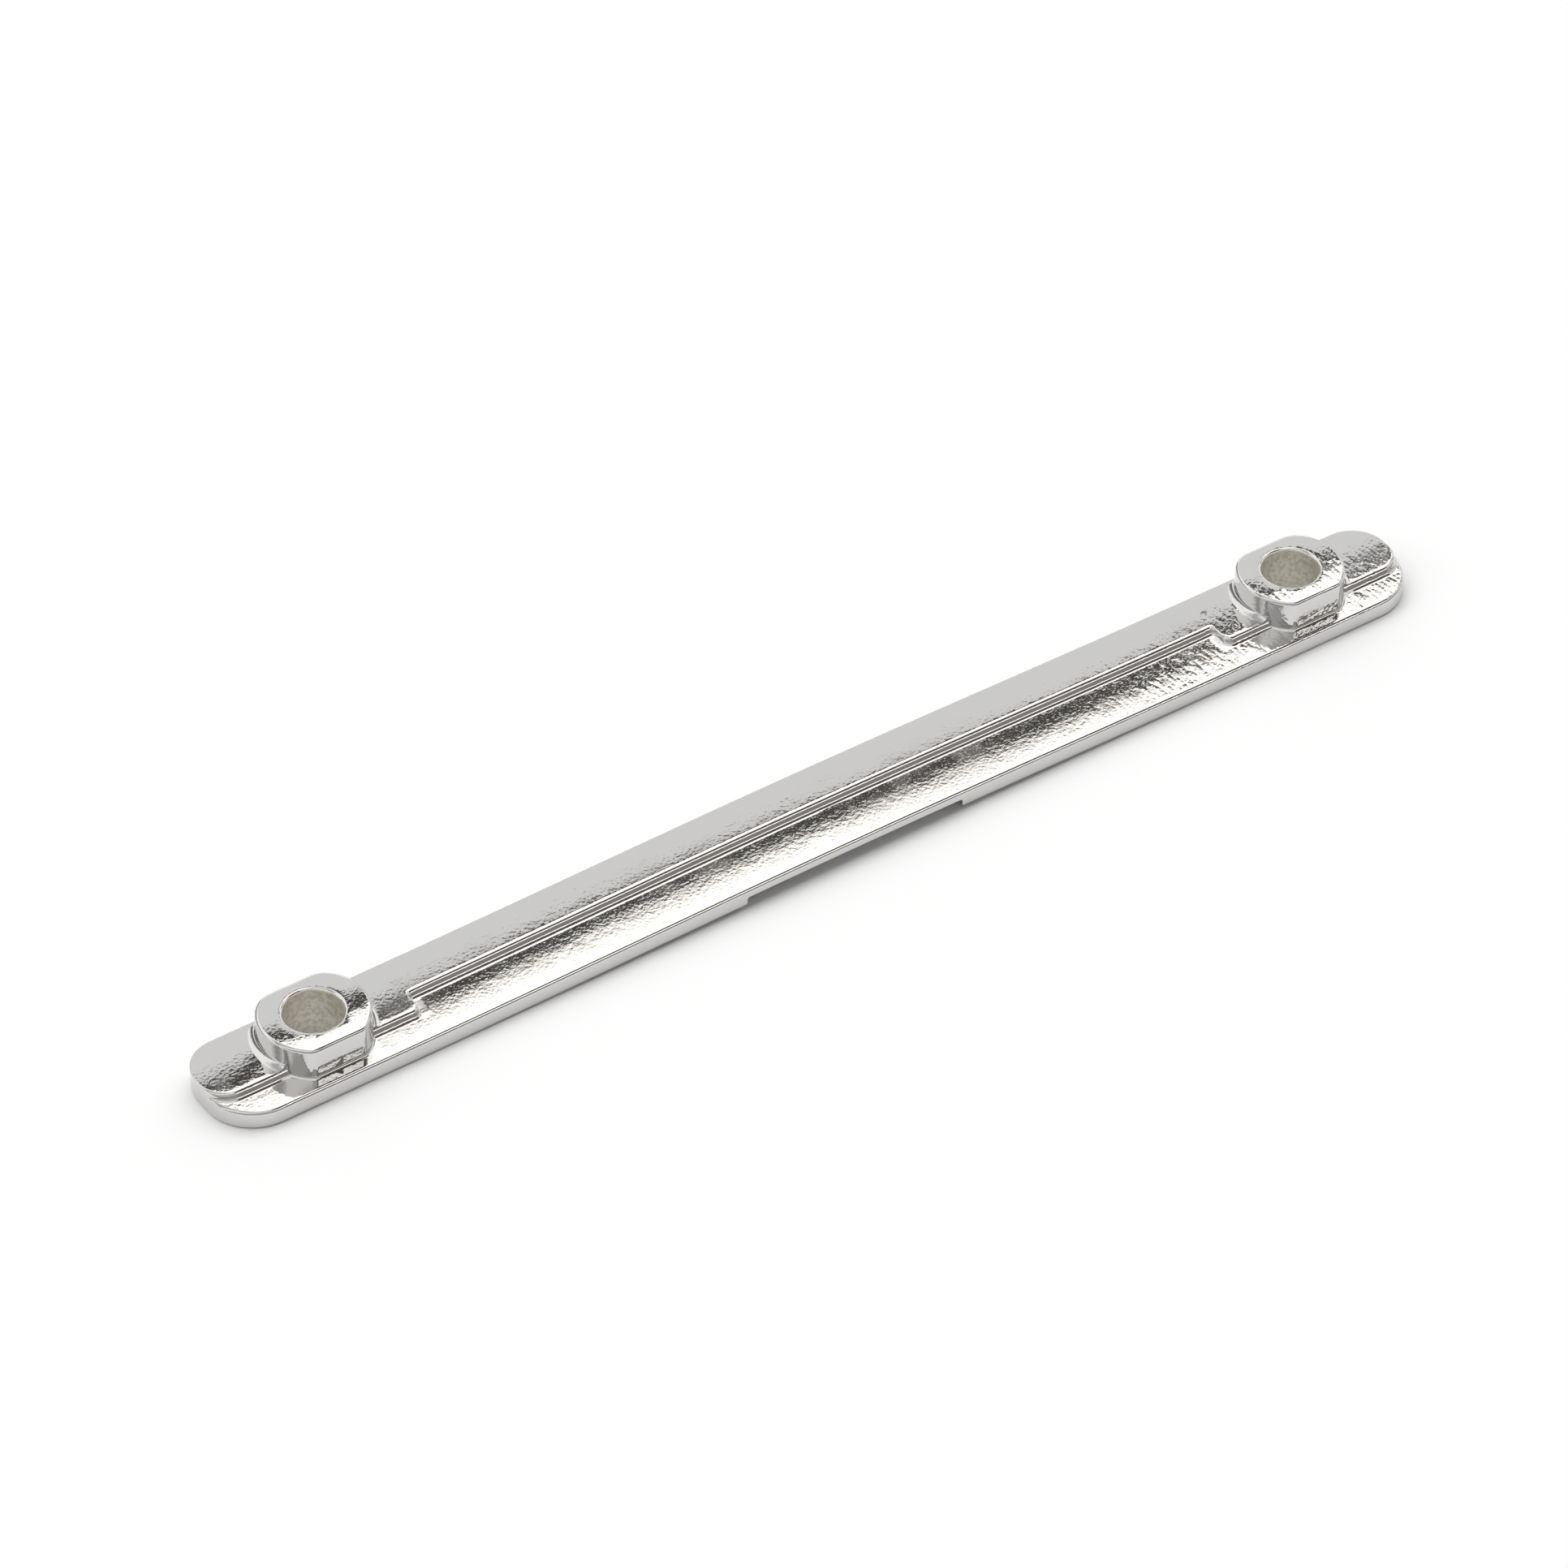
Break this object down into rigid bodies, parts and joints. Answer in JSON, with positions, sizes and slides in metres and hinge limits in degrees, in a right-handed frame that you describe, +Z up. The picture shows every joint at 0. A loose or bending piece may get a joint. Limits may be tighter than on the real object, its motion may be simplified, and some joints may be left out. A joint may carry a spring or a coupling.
{
  "type": "casement stay fixing bar",
  "caption": "Slim die-cast bar with a raised strip, flat-sided screw bosses near its ends and a relieved underside, for fastening a casement window stay.",
  "frame": {"origin": "middle of the bar's footprint, on the plane of the two pads that it rests on", "axes": "+X along the bar, +Y towards the flush back edge that carries the raised strip, +Z up through the bosses"},
  "size_m": [0.1292, 0.01, 0.0052],
  "materials": {
    "chrome_plate": "bright chrome plate over a die casting with fine orange peel"
  },
  "bodies": {
    "root": {"stay_bar": "chrome_plate"}
  },
  "joints": []
}
